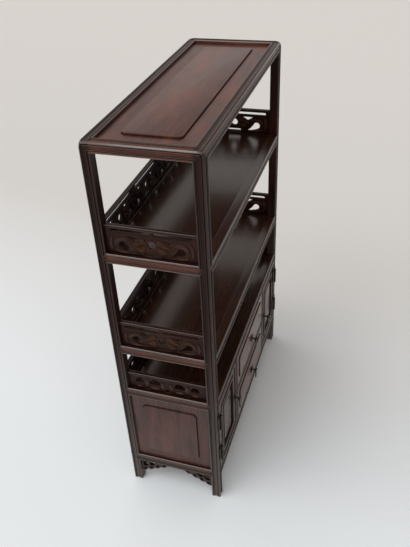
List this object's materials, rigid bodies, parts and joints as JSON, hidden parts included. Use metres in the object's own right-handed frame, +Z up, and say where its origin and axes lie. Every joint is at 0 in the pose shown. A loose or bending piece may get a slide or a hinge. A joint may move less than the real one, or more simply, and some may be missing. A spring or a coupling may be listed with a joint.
{
  "type": "display shelf",
  "caption": "Freestanding dark hardwood display shelf: open bays with pierced galleries over a cabinet with hinged doors, drawers and swinging drop pulls.",
  "frame": {"origin": "on the supporting surface, under the centre of the whole piece, pulls included", "axes": "+Z up, X along the width, -Y towards the front with the doors and drawers"},
  "size_m": [0.41, 0.1621, 0.606],
  "materials": {
    "rosewood": "polished, dark red-brown",
    "aged_brass": "aged, dark"
  },
  "bodies": {
    "carcass": {"front_left_post": "rosewood", "front_right_post": "rosewood", "back_left_post": "rosewood", "back_right_post": "rosewood", "top_frame": "rosewood", "top_panel": "rosewood", "upper_shelf_front_rail": "rosewood", "upper_shelf_back_rail": "rosewood", "upper_shelf_left_rail": "rosewood", "upper_shelf_right_rail": "rosewood", "upper_shelf_panel": "rosewood", "upper_shelf_left_gallery": "rosewood", "upper_shelf_right_gallery": "rosewood", "upper_shelf_back_gallery": "rosewood", "lower_shelf_front_rail": "rosewood", "lower_shelf_back_rail": "rosewood", "lower_shelf_left_rail": "rosewood", "lower_shelf_right_rail": "rosewood", "lower_shelf_panel": "rosewood", "lower_shelf_left_gallery": "rosewood", "lower_shelf_right_gallery": "rosewood", "lower_shelf_back_gallery": "rosewood", "cabinet_top_front_rail": "rosewood", "cabinet_top_back_rail": "rosewood", "cabinet_top_left_rail": "rosewood", "cabinet_top_right_rail": "rosewood", "cabinet_top_panel": "rosewood", "cabinet_top_left_gallery": "rosewood", "cabinet_top_right_gallery": "rosewood", "cabinet_top_back_gallery": "rosewood", "cabinet_floor": "rosewood", "cabinet_back_panel": "rosewood", "drawer_case": "rosewood", "cabinet_left_panel": "rosewood", "cabinet_right_panel": "rosewood", "left_apron": "rosewood", "right_apron": "rosewood", "left_upper_hinge_post_leaf": "aged_brass", "left_lower_hinge_post_leaf": "aged_brass", "right_upper_hinge_post_leaf": "aged_brass", "right_lower_hinge_post_leaf": "aged_brass"},
    "left_door": {"left_door_frame": "rosewood", "left_door_panel": "rosewood", "left_upper_hinge_door_leaf": "aged_brass", "left_lower_hinge_door_leaf": "aged_brass", "left_door_rosette": "aged_brass"},
    "right_door": {"right_door_frame": "rosewood", "right_door_panel": "rosewood", "right_upper_hinge_door_leaf": "aged_brass", "right_lower_hinge_door_leaf": "aged_brass", "right_door_rosette": "aged_brass"},
    "upper_drawer": {"upper_drawer": "rosewood", "upper_drawer_rosette": "aged_brass"},
    "lower_drawer": {"lower_drawer": "rosewood", "lower_drawer_rosette": "aged_brass"},
    "left_door_pendant": {"left_door_pendant": "aged_brass"},
    "right_door_pendant": {"right_door_pendant": "aged_brass"},
    "upper_drawer_pendant": {"upper_drawer_pendant": "aged_brass"},
    "lower_drawer_pendant": {"lower_drawer_pendant": "aged_brass"}
  },
  "joints": [
    {"name": "left_door_hinge", "type": "hinge", "parent": "carcass", "child": "left_door", "pos_m": [-0.1907, -0.07125, 0.1325], "axis": [0, 0, -1], "range_deg": [0, 170]},
    {"name": "right_door_hinge", "type": "hinge", "parent": "carcass", "child": "right_door", "pos_m": [0.1907, -0.07125, 0.1325], "axis": [0, 0, 1], "range_deg": [0, 170]},
    {"name": "upper_drawer_slide", "type": "slide", "parent": "carcass", "child": "upper_drawer", "axis": [0, -1, 0], "range_m": [0, 0.095]},
    {"name": "lower_drawer_slide", "type": "slide", "parent": "carcass", "child": "lower_drawer", "axis": [0, -1, 0], "range_m": [0, 0.095]},
    {"name": "left_door_pendant_swing", "type": "hinge", "parent": "left_door", "child": "left_door_pendant", "pos_m": [-0.10639, -0.07725, 0.1325], "axis": [-1, 0, 0], "range_deg": [0, 95]},
    {"name": "right_door_pendant_swing", "type": "hinge", "parent": "right_door", "child": "right_door_pendant", "pos_m": [0.10639, -0.07725, 0.1325], "axis": [-1, 0, 0], "range_deg": [0, 95]},
    {"name": "upper_drawer_pendant_swing", "type": "hinge", "parent": "upper_drawer", "child": "upper_drawer_pendant", "pos_m": [0, -0.07925, 0.16925], "axis": [-1, 0, 0], "range_deg": [0, 95]},
    {"name": "lower_drawer_pendant_swing", "type": "hinge", "parent": "lower_drawer", "child": "lower_drawer_pendant", "pos_m": [0, -0.07925, 0.09575], "axis": [-1, 0, 0], "range_deg": [0, 95]}
  ]
}
